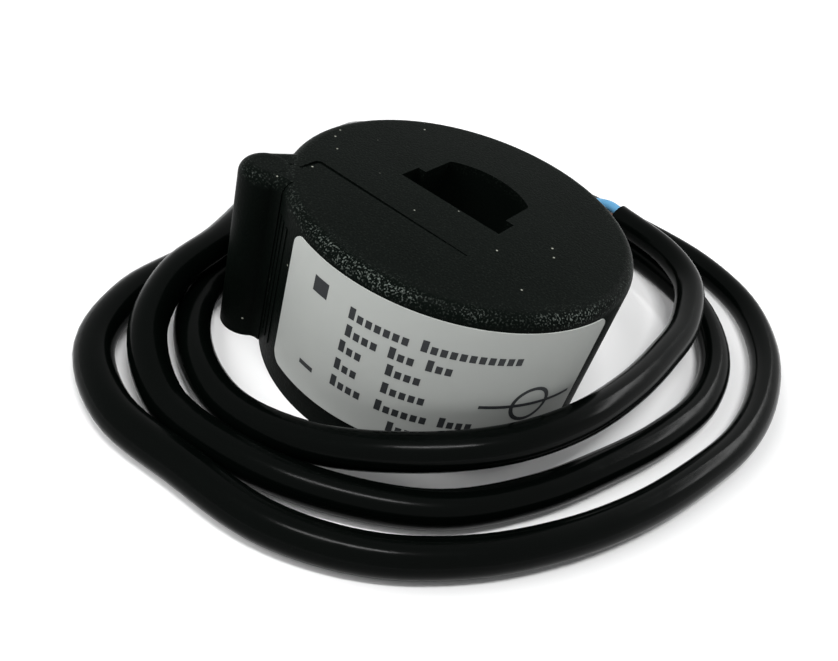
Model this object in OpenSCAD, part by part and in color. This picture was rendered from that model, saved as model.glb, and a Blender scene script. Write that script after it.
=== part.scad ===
// Current transformer with a window for the primary conductor: a round moulded
// case with a side pillar and a wrap-round label, a wound toroid sealed inside
// it, and a free two-core lead that lies coiled round the case.
// The origin is the centre of the base. +Z runs along the window to the closed
// top face and +X along the window's slot.

/* [Case] */
// Thickness of the side wall
side_wall = 2.4; // [1.8:0.1:2.6]
// Thickness of the closed top
top_wall = 2.2; // [1.6:0.1:2.8]
// Rounding of the top edges
edge_r = 1.8; // [1:0.1:2]

/* [Pillar] */
// Radius of the side pillar
pillar_r = 3.8; // [3.2:0.1:4.4]
// How far the pillar's axis stands outside the case's wall
pillar_out = 1.9; // [1.2:0.1:2.2]
// Direction of the pillar, anticlockwise from +X
pillar_a = 219.2; // [205:1:230]
// Direction of the straight flank behind the pillar
flank_a = 60; // [54:1:66]
// Radius of the hollow fillet in front of the pillar
fillet_r = 1.6; // [1:0.1:2.4]

/* [Window] */
// Length of the slot for a flat bar
slot_l = 16.2; // [15:0.1:17]
// Height of the slot
slot_h = 3.8; // [3:0.1:4.4]
// Width of the arch above the slot
arch_w = 13.6; // [10:0.1:14.2]
// Rise of the arch above the slot
arch_rise = 8.7; // [7.5:0.1:9.4]
// Radius of the arch's crown
crown_r = 10.4; // [9:0.1:12]
// Rounding where the crown meets the arch's sides
arch_corner_r = 0.8; // [0.4:0.1:1.4]
// Offset of the window from the case's axis, along the slot
window_x = -1.2; // [-1.6:0.1:0]
// Place of the slot's lower edge across the slot
slot_y = -2.3; // [-3:0.1:-1.8]
// Wall of the window's tube
tube_wall = 1.4; // [1:0.1:1.5]

/* [Top groove] */
// Width of the fine groove in the top at its corner
groove_w = 0.6; // [0.4:0.05:0.8]
// Width of the groove at the far end of its long leg
groove_end_w = 0.25; // [0.2:0.05:0.5]
// Depth of the groove
groove_depth = 0.3; // [0.15:0.05:0.5]
// Distance of the groove's long leg in front of the case's axis
groove_y = 10.3; // [8:0.1:12]
// Distance of the groove's short leg to the side of the case's axis
groove_x = 17.2; // [15:0.1:17.8]
// Length of the long leg
groove_long = 24; // [14:0.5:26]
// Length of the short leg
groove_short = 2.9; // [1.5:0.1:3.4]

/* [Label] */
// First edge of the label, anticlockwise from +X
label_a0 = 247.4; // [244:0.5:260]
// Last edge of the label
label_a1 = 355.2; // [330:0.5:380]
// Height of the label
label_h = 20.4; // [14:0.1:21]
// Clear strip under the label
label_z = 3.8; // [2.5:0.1:4.2]
// Corner radius of the label
label_corner = 2; // [1:0.1:3]
// Thickness of the label film
label_t = 0.15; // [0.1:0.01:0.2]

/* [Rib marks] */
// Number of fine upright ribs between the pillar and the label
rib_count = 3; // [2:1:3]
// Width of one rib
rib_w = 0.5; // [0.3:0.05:0.6]
// Height of a rib
rib_h = 18.6; // [14:0.1:19.5]
// How far a rib stands out
rib_out = 0.15; // [0.1:0.05:0.3]
// Angle from the pillar to the middle rib
rib_a = 17.6; // [17:0.1:19]
// Angle between ribs
rib_step = 3.6; // [3:0.1:4]

/* [Toroid] */
// Clearance between the window's tube and the taped toroid
bore_gap = 0.67; // [0.4:0.01:1]
// Radial width of the core
core_w = 3.7; // [3:0.1:4.5]
// Height of the core
core_h = 8.55; // [7:0.05:12]
// Clearance between the taped toroid and the case's wall
toroid_gap = 0.8; // [0.4:0.1:1]
// Thickness of the outer tape
tape_t = 0.4; // [0.3:0.05:0.5]
// Depth of the winding
winding_t = 1; // [0.8:0.05:1.1]
// Wall of the core's insulating box
box_t = 0.4; // [0.3:0.05:0.5]
// Sector that the winding leaves bare
winding_gap_a = 14; // [8:1:20]
// Side clearance between the toroid's layers
layer_gap = 0.05; // [0.03:0.01:0.08]

/* [Base cover] */
// Thickness of the base cover
cover_t = 2; // [1.6:0.1:2.4]
// Depth of the step that the cover seats on
cover_step = 0.8; // [0.6:0.1:1]
// Clearance round the cover
cover_gap = 0.1; // [0.05:0.05:0.2]
// Thickness of the pad under the toroid
lower_pad_t = 0.8; // [0.6:0.1:1]
// Thickness of the pad above the toroid
upper_pad_t = 0.5; // [0.3:0.1:0.7]
// Diameter of a post
post_d = 3; // [2.4:0.1:3.2]
// Clearance between the posts and the case's wall
post_gap = 2.1; // [1.6:0.1:2.4]

/* [Lead] */
// Diameter of the lead's sheath
lead_d = 5; // [4.4:0.1:5]
// Diameter of one insulated core
core_d = 1.9; // [1.5:0.1:2]
// Clearance between the two cores and the lead's axis
core_gap = 0.1; // [0.05:0.05:0.15]
// Diameter of a core's bare strands
strand_d = 1.2; // [0.9:0.1:1.3]
// Length of bare strands at each core's end
strand_l = 6; // [4:0.5:9]
// Clearance between the sheath and what it passes through
sheath_gap = 0.05; // [0.02:0.01:0.1]
// Wall of the strain relief's neck
neck_wall = 0.55; // [0.4:0.05:0.8]
// How far the strain relief's collar stands out past its neck
collar_lip = 1.3; // [0.8:0.1:2]
// Length of the collar
collar_l = 2.2; // [1.6:0.1:3]
// How far the snap flange inside the wall stands out past the neck
flange_lip = 0.5; // [0.3:0.05:0.8]
// Length of the snap flange
flange_l = 1.2; // [0.8:0.1:1.4]
// Wall of the strain relief at its tip
tip_wall = 0.55; // [0.4:0.05:0.9]
// Length of the strain relief outside the case
relief_l = 9; // [7:0.5:10]
// Length of the sheath inside the case's wall
tail_l = 5.2; // [4.8:0.1:5.6]
// Width of the tie round the sheath
tie_w = 1.6; // [1.2:0.1:1.8]
// Thickness of the tie
tie_t = 1; // [0.8:0.05:1.2]
// Clearance above and below the tie
tie_gap = 0.55; // [0.3:0.05:1]

/* [Splices] */
// Wall of a splice sleeve
sleeve_wall = 0.55; // [0.4:0.05:0.7]
// Length of a splice sleeve
sleeve_l = 8; // [7:0.5:8.5]
// Clearance between a core and its splice sleeve
sleeve_gap = 0.1; // [0.05:0.05:0.15]
// Length of the solder joint in a sleeve
solder_l = 2.4; // [1.6:0.1:3]
// Diameter of the winding's insulated end
end_d = 1.2; // [1:0.1:1.4]

/* [Hidden] */
$fn = 96;
// Number of posts under the toroid, one every 60 degrees from +X
posts = 6;
// Overlap of a cutter past the face it cuts
eps = 0.5;
// Step down from the case's top to the pillar's, and from there to the walls that join them
top_step = 0.05;
// Depth to which rounded blends run into the walls that they join
run_in = 0.04;
// Adhesive layer under the label
film_gap = 0.02;

// The window's tube: the crown's centre, and the reach of the tube's furthest corner
crown_y = slot_y + slot_h + arch_rise - crown_r;
tube_side = arch_w / 2 + tube_wall;
tube_crown = crown_r + tube_wall;
tube_reach = norm([abs(window_x) + tube_side,
    crown_y + sqrt(tube_crown * tube_crown - tube_side * tube_side)]);

// Radii from the toroid's bore outwards
toroid_r = tube_reach + bore_gap;
winding_in = toroid_r + tape_t + layer_gap;
box_in = winding_in + winding_t + layer_gap;
core_in = box_in + box_t + layer_gap;
core_out = core_in + core_w;
box_out = core_out + layer_gap + box_t;
winding_out = box_out + layer_gap + winding_t;
toroid_out_r = winding_out + layer_gap + tape_t;
cavity_r = toroid_out_r + toroid_gap;
seat_r = cavity_r + cover_step;
case_r = cavity_r + side_wall;

// Heights from the base upwards
tie_r = lead_d / 2 + sheath_gap + tie_t;
entry_z = cover_t + tie_gap + tie_r;
pad_z = entry_z + tie_r + tie_gap;
toroid_z = pad_z + lower_pad_t;
winding_z = toroid_z + tape_t;
box_z = winding_z + winding_t;
core_z = box_z + box_t;
box_top = core_z + core_h + layer_gap + box_t;
winding_top = box_top + layer_gap + winding_t;
toroid_top = winding_top + layer_gap + tape_t;
ceiling_z = toroid_top + upper_pad_t;
case_h = ceiling_z + top_wall;
pillar_h = case_h - top_step;
blend_h = pillar_h - top_step;

pillar_c = polar(case_r + pillar_out, pillar_a);
core_off = core_d / 2 + core_gap;
sleeve_d = core_d + 2 * sleeve_gap + 2 * sleeve_wall;
post_r = cavity_r - post_gap - post_d / 2;
tail_y = cavity_r - tail_l;
tip_y = case_r + relief_l;
relief_bore_r = lead_d / 2 + sheath_gap;
neck_r = relief_bore_r + neck_wall;
// Radius of the circle that the splices lie on
sleeve_r = (cavity_r + toroid_r) / 2;
// Radius at which the wires run round the window's tube, inside the posts
run_r = post_r - post_d / 2 - 1.5;
// Straight stretch of a wire in front of its splice sleeve
lead_in = 1;
// Angle from +Y to the middle of each splice, halfway between two posts
splice_a = 60;
// Clearance between the strain relief's neck and the wall
neck_gap = 0.1;
// Distance of the tie from the sheath's inner end
tie_inset = 0.8;
// Number of ring-shaped cuts in the strain relief
relief_cuts = 3;

// Height of the sheath's axis where it lies on the ground
G = lead_d / 2;
// The lead's route: from the strain relief, round behind the case, three loose turns
LEAD = [[0, tip_y, entry_z], [0, tip_y + 3, entry_z],
    [-0.8, 41.5, 6.8], [-4.3, 48.8, 7.7], [-12.5, 54.6, 7.8], [-23.3, 55.7, 5],
    [-31.3, 51.3, 2.9], [-36.8, 43, G], [-40, 31, G], [-40.7, 19.5, G], [-38.6, 7.5, G],
    [-35.2, -4.5, G], [-32.6, -16, G], [-31, -28, G], [-25.3, -38, G], [-15, -42.9, G],
    [-3.5, -43.5, G], [8.5, -41.8, G], [19.5, -36.9, G], [28.8, -28, G], [35.8, -16.5, G],
    [40.7, -4, G], [43.8, 9, G], [45.4, 22, G], [44.9, 35, G], [41, 49, G], [33, 60.3, G],
    [21.5, 65.7, G], [8.5, 66, G], [-5, 64, G], [-18.5, 62, G], [-31.5, 59.5, G],
    [-39.8, 55, G], [-44.4, 47.5, 2.8], [-44.8, 39, 5.2], [-42.3, 31, 7.4], [-40.7, 22.5, 7.7],
    [-38.7, 13.5, 7.7], [-36.4, 4.5, 7.7], [-32.8, -4.5, 7.7], [-29, -14.5, 7.7],
    [-26.8, -24.5, 7], [-21.5, -33, 4.8], [-11.5, -37.6, G], [0.5, -37.4, G], [12, -33.5, G],
    [21.8, -25.4, G], [28.3, -13.5, G], [32.6, -1, G], [36.2, 12, G], [37.8, 25.5, G],
    [35, 39, G], [27, 50.3, G], [14.5, 56, G], [1, 56.5, G], [-11.5, 51.8, G],
    [-22.5, 42.8, G], [-30.5, 31, G], [-33.5, 18, G], [-31.8, 5, G], [-28.2, -7.5, G],
    [-26.1, -19.5, G], [-18, -28.2, G], [-7.5, -32, 2.6], [4, -30.6, 3.8], [14.5, -24.8, 6],
    [22.7, -15.8, 7.5], [27.2, -4.8, 7.3], [29.2, 8, 6.7], [29.6, 21, 6.3], [28.7, 34, 6.7],
    [24, 47.3, 7.5], [17, 53.2, 7.6], [5.1, 56, 7.6]];

// Height of a core's axis where it lies on the ground
C = core_d / 2;
// The blue core's route, from the sheath's cut end down behind the case
BLUE = [[5.3, 56.85, 8.2], [2.75, 57.45, 8.2], [0.4, 58.6, 8], [-3, 59.8, 6.3], [-7, 60, 3.8],
    [-11.5, 59.3, 1.7], [-16, 58.3, C], [-22.7, 57, C]];
// The brown core's route
BROWN = [[4.9, 55.15, 7], [3.2, 55.55, 7], [1.4, 54.4, 6.4], [0.4, 51.8, 4.8], [-0.6, 48.8, 2.7],
    [-3, 45.9, 1.3], [-7, 43.8, C], [-12, 41.8, C], [-17, 39.3, C]];

// A point at radius r and angle a, at height z
function polar(r, a, z = 0) = [r * cos(a), r * sin(a), z];
function unit(v) = v / norm(v);

// ---- Case ----------------------------------------------------------------

// The section of a wall of width w and height h with its outer top edge rounded
module rounded_wall(w, h, edge) {
    square([w - edge, h]);
    square([w, h - edge]);
    translate([w - edge, h - edge]) intersection() {
        circle(edge);
        square(edge);
    }
}

// A round drum with a rounded top edge
module round_drum(r, h, edge) {
    rotate_extrude() rounded_wall(r, h, edge);
}

// The window's outline: a slot for a flat bar under an arch for a round cable. The corners
// of the arch are round, and grow adds the same width all round
module window_outline(grow = 0) {
    side = arch_w / 2 + grow;
    corner_x = arch_w / 2 - arch_corner_r;
    corner_y = sqrt(pow(crown_r - arch_corner_r, 2) - corner_x * corner_x);
    reach = 3 * (arch_corner_r + grow);
    translate([window_x - slot_l / 2 - grow, slot_y - grow])
        square([slot_l + 2 * grow, slot_h + 2 * grow]);
    translate([window_x, crown_y]) {
        difference() {
            intersection() {
                translate([-side, slot_y - grow - crown_y])
                    square([2 * side, crown_r + 2 * grow + crown_y - slot_y]);
                circle(crown_r + grow);
            }
            for (s = [-1, 1])
                translate([s * corner_x, corner_y]) polygon([[0, 0], [s * reach, 0],
                    [s * reach, reach], reach * unit([s * corner_x, corner_y])]);
        }
        for (s = [-1, 1])
            translate([s * corner_x, corner_y]) circle(arch_corner_r + grow - run_in / 2);
    }
}

// The straight flank that joins the pillar to the case behind it, rounded along its top
module pillar_flank() {
    start = pillar_c + polar(pillar_r - run_in, flank_a + 90);
    along = polar(1, flank_a);
    // Where the flank's line meets the case's circle
    b = start * along;
    run = -b - sqrt(b * b - start * start + case_r * case_r);
    depth = pillar_r;
    translate(start) rotate([0, 0, flank_a]) translate([0, -depth, 0])
        rotate([90, 0, 90]) linear_extrude(run + edge_r) rounded_wall(depth, blend_h, edge_r);
}

// Centre of the hollow fillet: it touches both the case's circle and the pillar's
function fillet_centre() =
    let (d = case_r + pillar_out, a = case_r + fillet_r, b = pillar_r + fillet_r)
    polar(a, pillar_a + acos((d * d + a * a - b * b) / (2 * d * a)));

module pillar_fillet() {
    c = fillet_centre();
    inner = polar(case_r - edge_r - pillar_r, pillar_a);
    cut_r = fillet_r + run_in;
    difference() {
        linear_extrude(blend_h)
            polygon([[inner.x, inner.y], [pillar_c.x, pillar_c.y], [c.x, c.y]]);
        translate([c.x, c.y, 0]) rotate_extrude() {
            translate([0, -eps]) square([cut_r, case_h + eps]);
            translate([0, case_h - edge_r]) difference() {
                square([cut_r + edge_r, edge_r]);
                translate([cut_r + edge_r, 0]) circle(edge_r);
            }
        }
    }
}

// The fine right-angled groove in the top face: its corner is cut across, and its long leg
// narrows to its end
module top_groove() {
    corner = 0.5;
    half = groove_w / 2;
    translate([-groove_x, -groove_y, case_h - groove_depth])
        linear_extrude(groove_depth + eps) {
            translate([-half, -corner - groove_short]) square([groove_w, groove_short]);
            polygon([[-half, -corner], [half, -corner], [corner, -half], [corner, half],
                [corner - half, half], [-half, half - corner]]);
            polygon([[corner, -half], [corner + groove_long, -groove_end_w / 2],
                [corner + groove_long, groove_end_w / 2], [corner, half]]);
        }
}

module rib_marks() {
    for (i = [0 : rib_count - 1])
        rotate([0, 0, pillar_a + rib_a + (i - (rib_count - 1) / 2) * rib_step])
            translate([case_r - rib_w, -rib_w / 2, label_z])
                cube([rib_w + rib_out, rib_w, rib_h]);
}

module case_body() {
    round_drum(case_r, case_h, edge_r);
    translate(pillar_c) round_drum(pillar_r, pillar_h, edge_r);
    pillar_flank();
    pillar_fillet();
    rib_marks();
}

// The shell's inside: the seat of the base cover and the room for the toroid
module case_cavity() {
    difference() {
        union() {
            translate([0, 0, -eps]) cylinder(r = seat_r, h = cover_t + eps);
            cylinder(r = cavity_r, h = ceiling_z);
        }
        translate([0, 0, -2 * eps]) linear_extrude(case_h) window_outline(tube_wall);
    }
}

module case_shell() {
    color([0.075, 0.085, 0.08]) difference() {
        case_body();
        case_cavity();
        translate([0, 0, -eps]) linear_extrude(case_h + 2 * eps) window_outline();
        translate([0, cavity_r - side_wall, entry_z]) rotate([-90, 0, 0])
            cylinder(r = neck_r + neck_gap, h = 3 * side_wall);
        top_groove();
    }
}

// The flat cover that closes the case from below, with posts that carry the toroid
module base_cover() {
    color([0.09, 0.1, 0.095]) {
        difference() {
            cylinder(r = seat_r - cover_gap, h = cover_t);
            translate([0, 0, -eps]) linear_extrude(cover_t + 2 * eps)
                window_outline(tube_wall + cover_gap);
        }
        for (i = [0 : posts - 1])
            rotate([0, 0, i * 360 / posts]) translate([post_r, 0, cover_t / 2])
                cylinder(d = post_d, h = pad_z - cover_t / 2);
    }
}

// Cuts one corner of the label round. side and up point from the corner into the label
module label_corner_cut(a, z, side, up) {
    over = 0.1;
    rotate([0, 0, a]) translate([case_r - eps, 0, z]) rotate([90, 0, 90])
        mirror([side < 0 ? 1 : 0, 0, 0]) mirror([0, up < 0 ? 1 : 0, 0])
            linear_extrude(2 * eps) difference() {
                translate([-over, -over]) square(label_corner + over);
                translate([1, 1] * (label_corner - run_in)) circle(label_corner);
            }
}

module label() {
    color([0.72, 0.73, 0.72]) difference() {
        translate([0, 0, label_z]) rotate([0, 0, label_a0])
            rotate_extrude(angle = label_a1 - label_a0)
                translate([case_r + film_gap, 0]) square([label_t, label_h]);
        label_corner_cut(label_a0, label_z, 1, 1);
        label_corner_cut(label_a0, label_z + label_h, 1, -1);
        label_corner_cut(label_a1, label_z, -1, 1);
        label_corner_cut(label_a1, label_z + label_h, -1, -1);
    }
}

// ---- Toroid --------------------------------------------------------------

module ring(r_in, r_out, z0, z1) {
    translate([0, 0, z0]) difference() {
        cylinder(r = r_out, h = z1 - z0);
        translate([0, 0, -eps]) cylinder(r = r_in, h = z1 - z0 + 2 * eps);
    }
}

// A ring-shaped skin of thickness t, closed all round unless a sector is left out
module ring_skin(r_in, r_out, z0, z1, t, angle = 360) {
    rotate_extrude(angle = angle) difference() {
        translate([r_in, z0]) square([r_out - r_in, z1 - z0]);
        translate([r_in + t, z0 + t]) square([r_out - r_in - 2 * t, z1 - z0 - 2 * t]);
    }
}

module toroid_core() {
    color([0.55, 0.56, 0.58])
        ring(core_in, core_out, core_z, core_z + core_h);
}

module core_box() {
    color([0.85, 0.85, 0.8]) {
        ring(box_in, box_out, box_z, box_z + box_t);
        ring(box_in, box_in + box_t, box_z, box_top - box_t);
        ring(box_out - box_t, box_out, box_z, box_top - box_t);
    }
}

module core_lid() {
    color([0.8, 0.8, 0.76]) ring(box_in, box_out, box_top - box_t, box_top);
}

module secondary_winding() {
    color([0.65, 0.32, 0.14]) rotate([0, 0, -90 + winding_gap_a / 2])
        ring_skin(winding_in, winding_out, winding_z, winding_top, winding_t,
            360 - winding_gap_a);
}

// Angle from +Y at which each end of the winding leaves it
function end_angle() = 176 - winding_gap_a / 2;

// Holes for the two ends of the winding through a layer from z0, of thickness t
module lead_holes(z0, t) {
    for (side = [-1, 1])
        translate(place(side, sleeve_r, end_angle(), z0 - eps))
            cylinder(d = end_d + 2 * sleeve_gap, h = t + 2 * eps);
}

// The tape's skin, with a hole under each end of the winding for its lead
module outer_tape() {
    color([0.82, 0.7, 0.2]) difference() {
        ring_skin(toroid_r, toroid_out_r, toroid_z, toroid_top, tape_t);
        lead_holes(toroid_z, tape_t);
    }
}

module upper_pad() {
    color([0.5, 0.5, 0.5]) ring(toroid_r + tape_t, toroid_out_r - tape_t, toroid_top, ceiling_z);
}

module lower_pad() {
    color([0.5, 0.5, 0.5]) difference() {
        ring(toroid_r + tape_t, toroid_out_r - tape_t, pad_z, toroid_z);
        lead_holes(pad_z, lower_pad_t);
    }
}

// ---- Lead inside the case --------------------------------------------------
// Each of these pieces has a left copy (side 1, blue) and a right copy (side -1, brown).

// A point at radius r, turned by angle a from +Y towards its side
function place(side, r, a, z = entry_z) = [-side * r * sin(a), r * cos(a), z];

// A point on a splice's axis, at distance t past its middle
function on_splice(side, t) =
    place(side, sleeve_r, splice_a) + t * [-side * cos(splice_a), -sin(splice_a), 0];

// A round rod from point p to point q
module rod(p, q, d) {
    run = q - p;
    translate(p) rotate([0, acos(run.z / norm(run)), atan2(run.y, run.x)])
        cylinder(d = d, h = norm(run));
}

// One of the lead's cores, from the sheath's inner end into its splice
module inner_core(side) {
    cord([[-side * core_off, tail_y, entry_z], [-side * core_off, tail_y - tie_inset, entry_z],
        place(side, run_r, 16), place(side, run_r, 32),
        on_splice(side, -sleeve_l / 2 - lead_in), on_splice(side, -solder_l / 2)], core_d, 8);
}

module inner_blue_core() {
    color([0.12, 0.3, 0.62]) inner_core(1);
}

module inner_brown_core() {
    color([0.36, 0.2, 0.12]) inner_core(-1);
}

// An end of the winding: down through the tape, then round the window's tube to its splice
module winding_end(side) {
    out_a = end_angle();
    cord(concat([place(side, sleeve_r, out_a, winding_z), place(side, sleeve_r, out_a)],
        [for (a = [160, 140, 120, 100, 82]) place(side, run_r, a)],
        [on_splice(side, sleeve_l / 2 + lead_in), on_splice(side, solder_l / 2)]), end_d, 8, upright = false);
}

module start_lead() {
    color([0.7, 0.68, 0.6]) winding_end(-1);
}

module finish_lead() {
    color([0.62, 0.6, 0.54]) winding_end(1);
}

module splice_sleeve(side) {
    difference() {
        rod(on_splice(side, -sleeve_l / 2), on_splice(side, sleeve_l / 2), sleeve_d);
        rod(on_splice(side, -sleeve_l / 2 - eps), on_splice(side, sleeve_l / 2 + eps),
            core_d + 2 * sleeve_gap);
    }
}

module blue_splice_sleeve() {
    color([0.8, 0.8, 0.78]) splice_sleeve(1);
}

module brown_splice_sleeve() {
    color([0.8, 0.8, 0.78]) splice_sleeve(-1);
}

module solder_joint(side) {
    rod(on_splice(side, -solder_l / 2), on_splice(side, solder_l / 2), core_d);
}

module blue_solder_joint() {
    color([0.75, 0.75, 0.76]) solder_joint(1);
}

module brown_solder_joint() {
    color([0.75, 0.75, 0.76]) solder_joint(-1);
}

// Turns a shape drawn along +Z so that it lies along +Y on the lead's axis
module on_lead_axis() {
    translate([0, 0, entry_z]) rotate([-90, 0, 0]) children();
}

module lead_tail() {
    color([0.05, 0.05, 0.05]) on_lead_axis()
        translate([0, 0, tail_y]) cylinder(d = lead_d, h = tip_y - tail_y);
}

module lead_tie() {
    color([0.85, 0.85, 0.8]) on_lead_axis()
        ring(relief_bore_r, tie_r, tail_y + tie_inset, tail_y + tie_inset + tie_w);
}

// The rubber sleeve that snaps into the wall and tapers along the lead
module strain_relief() {
    flange_r = neck_r + flange_lip;
    collar_r = neck_r + collar_lip;
    tip_r = relief_bore_r + tip_wall;
    flange_y = sqrt(cavity_r * cavity_r - flange_r * flange_r) - sheath_gap;
    collar_y = case_r + film_gap;
    taper_y = collar_y + collar_l;
    color([0.07, 0.07, 0.07]) on_lead_axis() difference() {
        rotate_extrude() polygon([[relief_bore_r, flange_y - flange_l],
            [flange_r, flange_y - flange_l], [flange_r, flange_y], [neck_r, flange_y],
            [neck_r, collar_y], [collar_r, collar_y], [collar_r, taper_y], [tip_r, tip_y],
            [relief_bore_r, tip_y]]);
        for (i = [0 : relief_cuts - 1])
            ring(tip_r, collar_r + eps, taper_y + (i + 0.6) * cut_pitch(taper_y),
                taper_y + (i + 1) * cut_pitch(taper_y));
    }
}

// Distance between the ring-shaped cuts that let the strain relief bend
function cut_pitch(taper_y) = (tip_y - taper_y) / (relief_cuts + 1);

// ---- Cords -------------------------------------------------------------------

// Ring i of a round cord along points; its plane halves the bend there. The ring is turned
// towards +Z, or towards the case's axis where the cord itself runs upright
function cord_ring(points, i, d, sides, upright) =
    let (last = len(points) - 1,
        along = unit(points[min(i + 1, last)] - points[max(i - 1, 0)]),
        lean = upright ? [0, 0, 1] : [points[i].x, points[i].y, 0],
        across = unit(cross(along, lean)),
        up = cross(across, along))
    [for (k = [0 : sides - 1])
        points[i] + d / 2 * (cos(k * 360 / sides) * across + sin(k * 360 / sides) * up)];

// A round cord swept along points, with flat ends
module cord(points, d, sides, upright = true) {
    last = (len(points) - 1) * sides;
    rings = [for (i = [0 : len(points) - 1]) each cord_ring(points, i, d, sides, upright)];
    walls = [for (i = [0 : sides : last - sides], k = [0 : sides - 1])
        let (a = i + k, b = i + (k + 1) % sides)
        each [[a, b, b + sides], [a, b + sides, a + sides]]];
    start = [for (k = [sides - 1 : -1 : 0]) k];
    end = [for (k = [0 : sides - 1]) last + k];
    polyhedron(rings, concat([start, end], walls), convexity = 10);
}

module lead_sheath() {
    color([0.04, 0.04, 0.04]) cord(LEAD, lead_d, 12);
}

module blue_core() {
    color([0.1, 0.27, 0.6]) cord(BLUE, core_d, 8);
}

module brown_core() {
    color([0.35, 0.19, 0.1]) cord(BROWN, core_d, 8);
}

// The bare strands past the last point of a core
module strands(points) {
    last = len(points) - 1;
    along = unit(points[last] - points[last - 1]);
    rod(points[last], points[last] + strand_l * along, strand_d);
}

module blue_strands() {
    color([0.72, 0.7, 0.66]) strands(BLUE);
}

module brown_strands() {
    color([0.72, 0.7, 0.66]) strands(BROWN);
}

case_shell();
base_cover();
label();
upper_pad();
lower_pad();
toroid_core();
core_box();
core_lid();
secondary_winding();
outer_tape();
start_lead();
finish_lead();
blue_splice_sleeve();
brown_splice_sleeve();
blue_solder_joint();
brown_solder_joint();
inner_blue_core();
inner_brown_core();
lead_tail();
lead_tie();
strain_relief();
lead_sheath();
blue_core();
brown_core();
blue_strands();
brown_strands();
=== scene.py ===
"""Window current transformer with a coiled two-core lead, dressed for a studio picture."""

from __future__ import annotations

import logging
import math
from abc import ABC, abstractmethod
from dataclasses import dataclass, field
from enum import Enum
from typing import Sequence

import bmesh
import bpy
from mathutils import Matrix, Vector


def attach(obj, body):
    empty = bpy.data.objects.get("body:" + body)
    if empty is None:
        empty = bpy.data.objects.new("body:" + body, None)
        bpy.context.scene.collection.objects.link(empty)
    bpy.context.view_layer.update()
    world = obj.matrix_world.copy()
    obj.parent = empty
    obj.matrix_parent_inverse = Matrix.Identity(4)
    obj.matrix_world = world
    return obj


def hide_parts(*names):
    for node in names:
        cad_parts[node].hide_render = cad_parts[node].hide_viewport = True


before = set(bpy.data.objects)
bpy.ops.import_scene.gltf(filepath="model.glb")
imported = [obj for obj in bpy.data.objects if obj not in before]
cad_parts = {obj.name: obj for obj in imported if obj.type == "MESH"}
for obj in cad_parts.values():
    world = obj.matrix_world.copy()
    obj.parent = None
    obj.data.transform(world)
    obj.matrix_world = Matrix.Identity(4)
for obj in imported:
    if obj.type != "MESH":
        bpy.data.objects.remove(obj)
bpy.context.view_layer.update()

LOG = logging.getLogger("current_transformer")
MM = 0.001
ROOT = "root"

Point = tuple[float, float, float]
Span = tuple[float, float]
Colour = tuple[float, float, float, float]
Tree = bpy.types.NodeTree
Node = bpy.types.Node
Socket = bpy.types.NodeSocket

WHITE: Colour = (1.0, 1.0, 1.0, 1.0)
# How many finer layers a noise has: for soft clouds, for a grain and for handling marks
CLOUDY, GRAINY, MARKED = 2.0, 3.0, 5.0


# ---- Objects and meshes ------------------------------------------------------


def add_object(name: str, data: bpy.types.ID) -> bpy.types.Object:
    """Put new data into the scene.

    Args:
        name: The object's name.
        data: Its mesh, curve, lamp or camera.

    Returns:
        The new object, at the origin.
    """
    made = bpy.data.objects.new(name, data)
    bpy.context.scene.collection.objects.link(made)
    return made


def mesh_object(name: str, bm: bmesh.types.BMesh, material: bpy.types.Material) -> bpy.types.Object:
    """Turn a bmesh into an object of one material.

    Args:
        name: The object's name.
        bm: The mesh, in metres and in place. It is freed.
        material: The object's material.

    Returns:
        The new object, at the origin.
    """
    mesh = bpy.data.meshes.new(name)
    bm.to_mesh(mesh)
    bm.free()
    mesh.materials.append(material)
    return add_object(name, mesh)


def dress(piece: bpy.types.Object, material: bpy.types.Material) -> None:
    """Give a piece one material all over.

    Args:
        piece: The piece.
        material: Its only material from now on.
    """
    piece.data.materials.clear()
    piece.data.materials.append(material)


# ---- Colours and shader nodes ------------------------------------------------


def linear(hex_colour: str) -> Colour:
    """Turn an sRGB hex colour to linear light.

    Args:
        hex_colour: Six hex digits, such as "1c201d".

    Returns:
        Red, green, blue and an alpha of 1.
    """
    parts = [int(hex_colour[i : i + 2], 16) / 255 for i in (0, 2, 4)]
    light = [c / 12.92 if c <= 0.04045 else ((c + 0.055) / 1.055) ** 2.4 for c in parts]
    return (light[0], light[1], light[2], 1.0)


def node(
    tree: Tree, kind: str, links: dict[str, object] | None = None, **settings: object
) -> Node:
    """Add a shader node with its settings, fixed inputs and links.

    Args:
        tree: The material's or world's node tree.
        kind: The node's type, such as "ShaderNodeTexNoise".
        links: Input name or number to a fixed value or to another node's output socket.
        settings: Attributes of the node.

    Returns:
        The new node.
    """
    made = tree.nodes.new(kind)
    for name, value in settings.items():
        setattr(made, name, value)
    for name, value in (links or {}).items():
        socket = made.inputs[int(name)] if name.isdigit() else made.inputs[name]
        if isinstance(value, Socket):
            tree.links.new(value, socket)
        else:
            socket.default_value = value
    return made


@dataclass(frozen=True)
class Fade:
    """A share that changes between two values and holds beyond them.

    Attributes:
        start: The value where the change starts. It may be the greater one.
        end: The value where it ends.
        least: The share at the start.
        most: The share at the end.
        unit: What one unit of the values stands for, such as MM for millimetres.
    """

    start: float = 0.0
    end: float = 1.0
    least: float = 0.0
    most: float = 1.0
    unit: float = 1.0

    def of(self, value: Socket) -> dict[str, object]:
        """Give the inputs that make a share of a value.

        Args:
            value: The value's socket.

        Returns:
            Input name to the value or to one of the four ends.
        """
        return {
            "Value": value,
            "From Min": self.start * self.unit,
            "From Max": self.end * self.unit,
            "To Min": self.least,
            "To Max": self.most,
        }


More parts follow.
